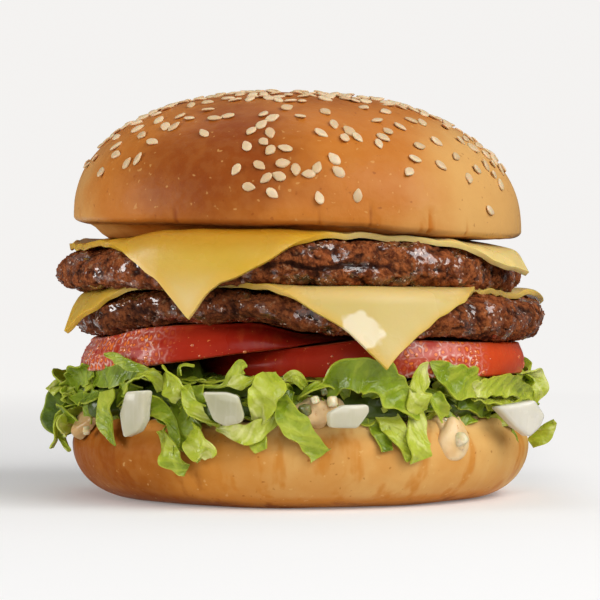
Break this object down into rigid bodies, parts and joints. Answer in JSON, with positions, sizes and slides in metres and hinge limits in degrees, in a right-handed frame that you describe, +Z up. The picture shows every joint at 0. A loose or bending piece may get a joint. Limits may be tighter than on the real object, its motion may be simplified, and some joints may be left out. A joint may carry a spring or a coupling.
{
  "type": "double cheeseburger",
  "caption": "Stacked sandwich of a cut seeded bun, beef patties, cheese slices, tomato slices, shredded lettuce, chopped onion and sauce.",
  "frame": {"origin": "middle of the burger's footprint, on the surface it stands on", "axes": "+Z up, the front towards -Y, +X to the right seen from the front"},
  "size_m": [0.122, 0.12, 0.0938],
  "materials": {
    "crown_crust": "satin golden-brown bread crust with cream sesame seeds",
    "heel_crust": "satin golden bread crust, pale at the cut shoulder",
    "cheese": "smooth soft sheen, slightly see-through at the edges",
    "beef": "rough seared mince with wet highlights",
    "tomato": "wet shiny skin and flesh",
    "lettuce_leaf": "moist thin leaf with pale ribs",
    "raw_onion": "moist, milky and slightly see-through",
    "burger_sauce": "glossy thick sauce with bits of relish"
  },
  "bodies": {
    "root": {"bun_crown": "crown_crust", "bun_heel": "heel_crust", "cheese_lower": "cheese", "cheese_upper": "cheese", "lettuce": "lettuce_leaf", "onion_1": "raw_onion", "onion_2": "raw_onion", "onion_3": "raw_onion", "onion_4": "raw_onion", "onion_5": "raw_onion", "onion_6": "raw_onion", "onion_7": "raw_onion", "onion_8": "raw_onion", "patty_lower": "beef", "patty_upper": "beef", "sauce": "burger_sauce", "tomato_left": "tomato", "tomato_right": "tomato"}
  },
  "joints": []
}
